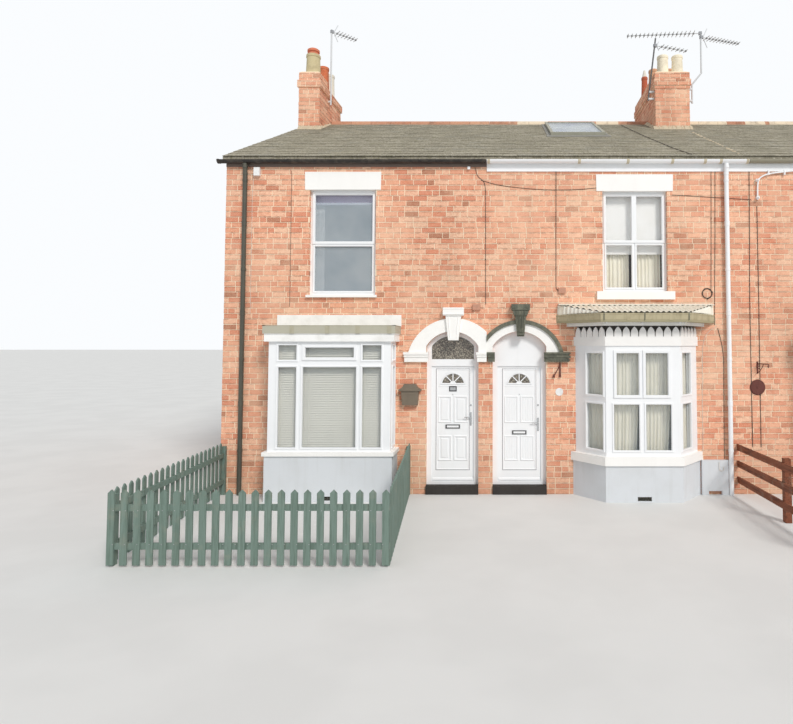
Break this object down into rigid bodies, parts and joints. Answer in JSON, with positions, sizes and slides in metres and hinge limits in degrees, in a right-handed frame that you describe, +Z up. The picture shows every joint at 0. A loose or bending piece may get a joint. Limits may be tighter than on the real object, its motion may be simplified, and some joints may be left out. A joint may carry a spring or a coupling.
{
  "type": "terraced house row",
  "caption": "Row of brick terraced houses with box and canted bay windows, arched front doors that open inwards, slate roof with chimney stacks, gutters and a picket fence.",
  "frame": {"origin": "on the ground under the middle of the row's bounding box", "axes": "+X along the row to the viewer's right, +Y from the street front into the houses, +Z up"},
  "size_m": [13.435, 11.305, 9.9954],
  "materials": {
    "brick": "matt fired clay with pale mortar joints",
    "floor_boards": "matt boards",
    "slate": "matt, weathered, with moss",
    "ridge_clay": "matt fired clay",
    "skylight_grey": "satin",
    "pot_clay": "matt fired clay",
    "aerial_metal": "weathered",
    "black_plastic": "satin",
    "white_plastic": "semi-gloss",
    "glass": "clear",
    "white_masonry": "painted, matt",
    "render": "painted render, matt",
    "bay_felt": "mineral felt, matt",
    "hood_tile": "weathered, matt",
    "white_wood": "painted, satin",
    "step_stone": "worn, matt",
    "dark_masonry": "painted, matt",
    "bronze_paint": "satin",
    "green_wood": "painted, matt",
    "brown_wood": "stained, satin",
    "bright_metal": "brushed"
  },
  "bodies": {
    "house_row": {"front_wall_left": "brick", "front_wall_middle": "brick", "front_wall_right": "brick", "door_pier": "brick", "front_wall_over_doors": "brick", "front_wall_upper": "brick", "gable_wall": "brick", "party_walls": "brick", "rear_wall": "brick", "ground_floor": "floor_boards", "upper_floor": "floor_boards", "roof_front": "slate", "roof_rear": "slate", "ridge_tiles": "ridge_clay", "skylight": "skylight_grey", "chimney_left": "brick", "chimney_right": "brick", "chimney_pots": "pot_clay", "aerials": "aerial_metal", "fascia_black": "black_plastic", "fascia_white": "white_plastic", "gutter_black": "black_plastic", "gutter_white": "white_plastic", "downpipe_black": "black_plastic", "downpipe_white": "white_plastic", "window_frames": "white_plastic", "window_glass": "glass", "window_sills": "white_masonry", "lintels": "white_masonry", "bay_bases": "render", "bay_sills": "white_masonry", "bay_windows": "white_plastic", "bay_glass": "glass", "box_bay_roofs": "bay_felt", "canted_bay_roof": "hood_tile", "canted_bay_frieze": "white_wood", "door_steps": "step_stone", "door_frames": "white_plastic", "fanlights": "glass", "arch_surrounds": "white_masonry", "dark_arch_moulding": "dark_masonry", "post_box": "bronze_paint", "wall_plates": "white_plastic", "picket_fence_front": "green_wood", "picket_fence_left": "green_wood", "picket_fence_right": "green_wood", "rail_fence": "brown_wood", "rear_doors": "white_plastic"},
    "front_door_1": {"door_1": "white_plastic", "door_glass_1": "glass", "door_fittings_1": "bright_metal"},
    "front_door_2": {"door_2": "white_plastic", "door_glass_2": "glass", "door_fittings_2": "bright_metal"},
    "front_door_3": {"door_3": "white_plastic", "door_glass_3": "glass", "door_fittings_3": "bright_metal"}
  },
  "joints": [
    {"name": "front_door_1_hinge", "type": "hinge", "parent": "house_row", "child": "front_door_1", "pos_m": [-3.1315, -2.2045, 1.1], "axis": [0, 0, 1], "range_deg": [0, 90]},
    {"name": "front_door_2_hinge", "type": "hinge", "parent": "house_row", "child": "front_door_2", "pos_m": [-2.0265, -2.2045, 1.1], "axis": [0, 0, 1], "range_deg": [0, 90]},
    {"name": "front_door_3_hinge", "type": "hinge", "parent": "house_row", "child": "front_door_3", "pos_m": [5.6685, -2.2045, 1.1], "axis": [0, 0, 1], "range_deg": [0, 90]}
  ]
}
